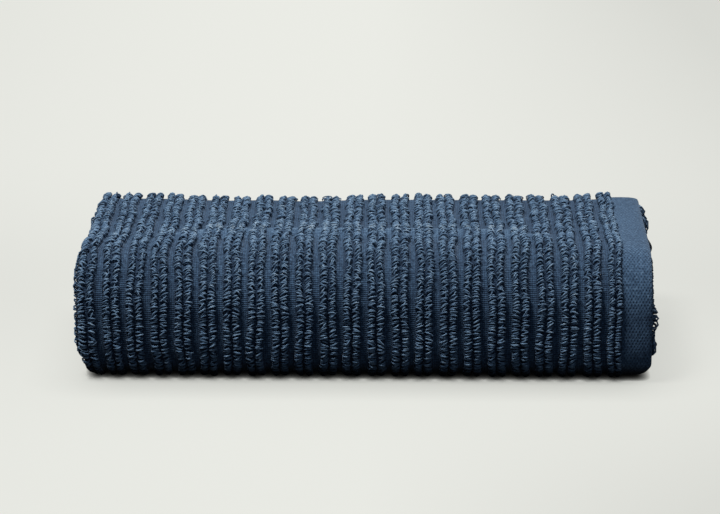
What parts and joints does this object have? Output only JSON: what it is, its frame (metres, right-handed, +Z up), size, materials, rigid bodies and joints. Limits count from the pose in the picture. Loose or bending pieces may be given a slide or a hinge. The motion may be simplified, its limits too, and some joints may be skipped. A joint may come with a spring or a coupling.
{
  "type": "folded face towel",
  "caption": "Ribbed terry face towel with plain woven hems, folded lengthwise and crosswise into a flat stack with a rounded fold at the front.",
  "frame": {"origin": "middle of the underside of the folded towel's box, on the surface it lies on", "axes": "+X along the towel's length, from the fold at the left to the hem at the right; +Y from the rounded front fold to the back; +Z up"},
  "size_m": [0.2694, 0.1396, 0.0603],
  "materials": {
    "terry": "slate blue cotton terry in loop-pile ribs, with plain woven valleys and hems"
  },
  "bodies": {
    "root": {"towel": "terry"}
  },
  "joints": []
}
